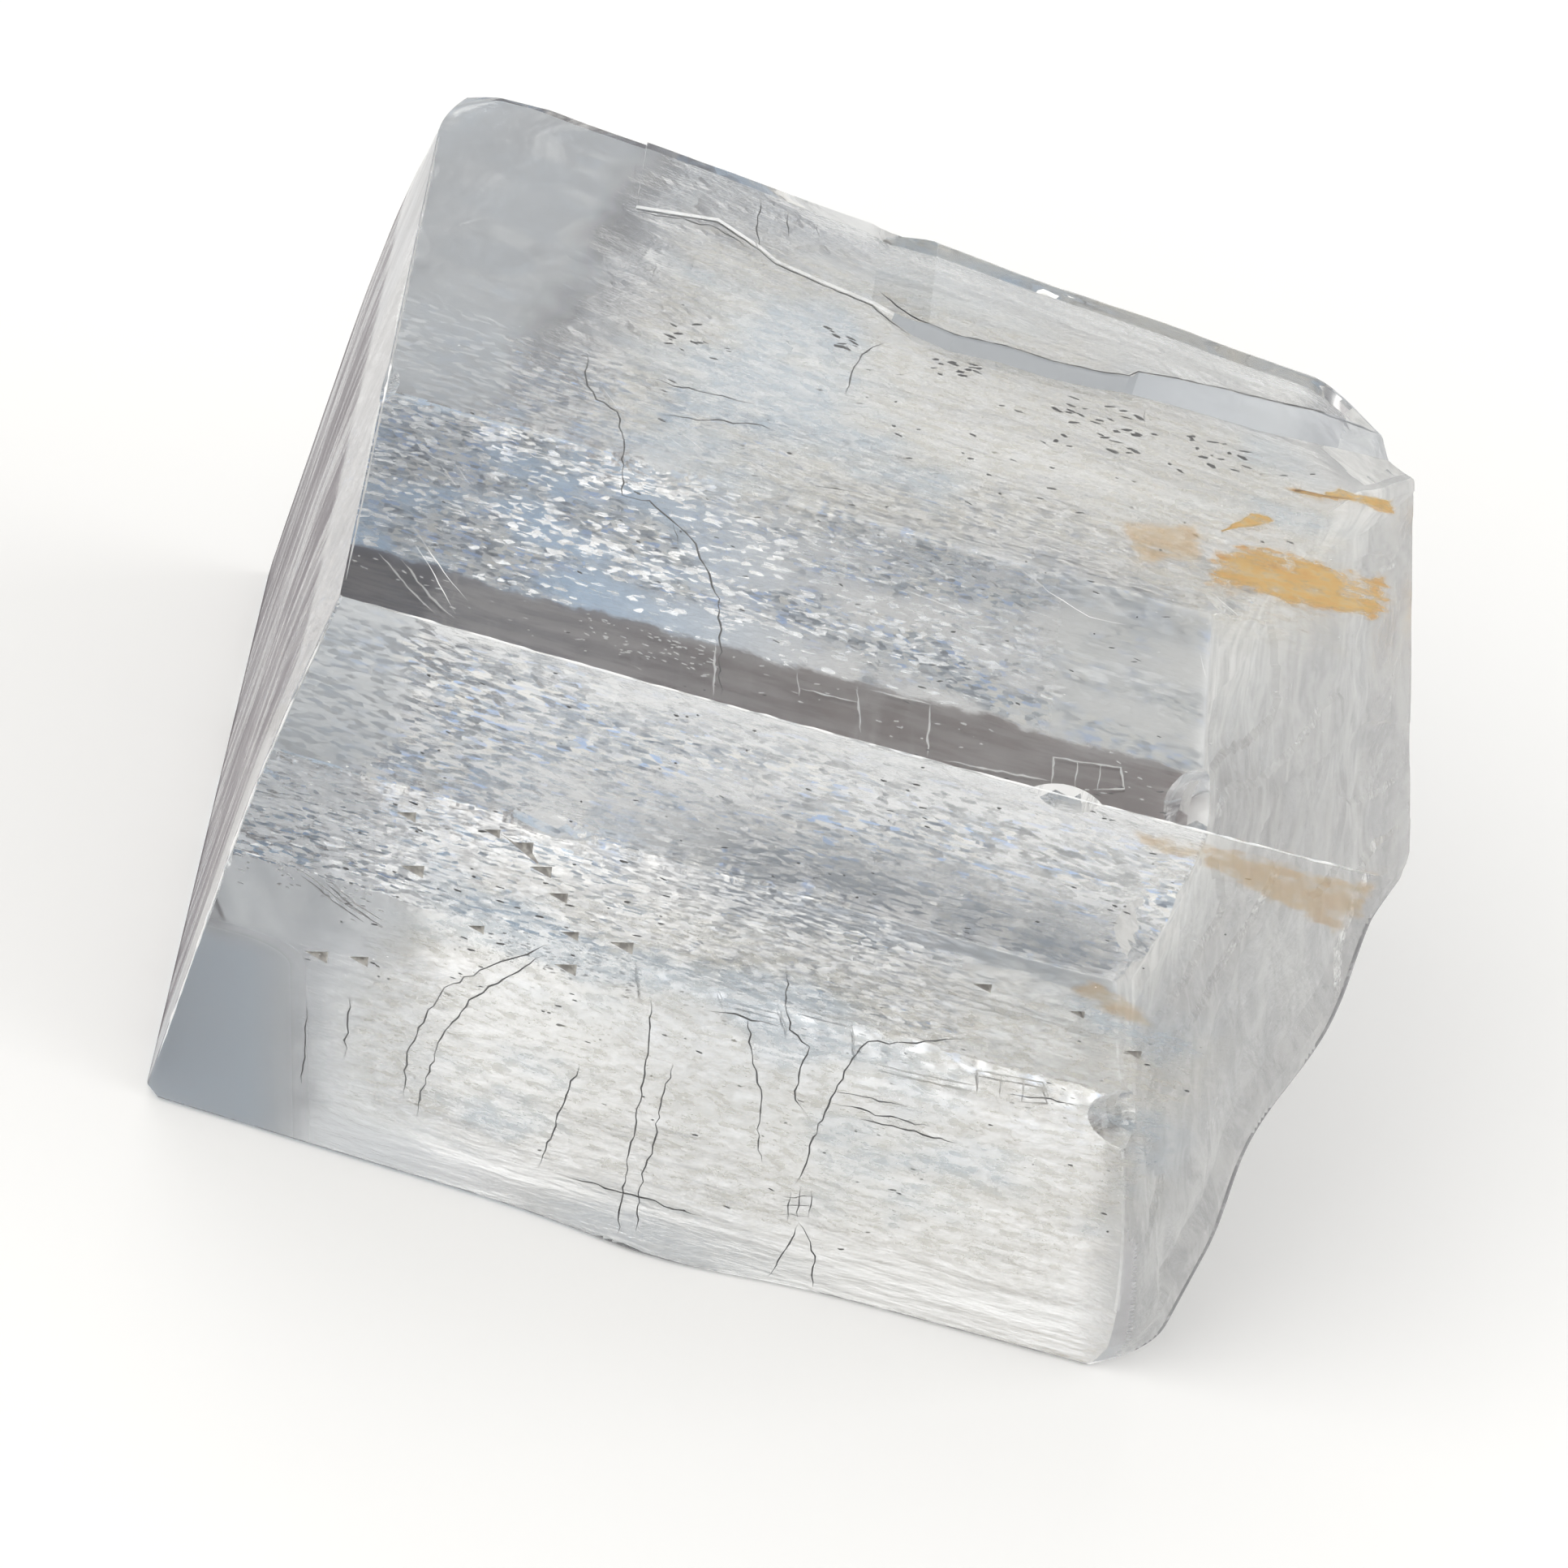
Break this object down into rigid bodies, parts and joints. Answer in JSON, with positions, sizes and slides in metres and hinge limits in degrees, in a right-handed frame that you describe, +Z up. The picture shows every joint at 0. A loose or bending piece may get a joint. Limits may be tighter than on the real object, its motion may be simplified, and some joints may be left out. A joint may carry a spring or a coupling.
{
  "type": "optical calcite crystal",
  "caption": "Clear cleaved calcite rhomb with flat parallelogram faces, a raised strip along the back of the top, etched pits and chipped edges, lying on a cleavage face.",
  "frame": {"origin": "middle of the bounding box on the surface that the crystal rests on", "axes": "+X along the rhomb's long edge, towards the broken end; +Y towards the hidden back face; +Z up, square to the resting and the top faces"},
  "size_m": [0.0582, 0.0401, 0.0284],
  "materials": {
    "clear_calcite": "clear to milky, with smooth worn cleavage faces"
  },
  "bodies": {
    "root": {"calcite_crystal": "clear_calcite"}
  },
  "joints": []
}
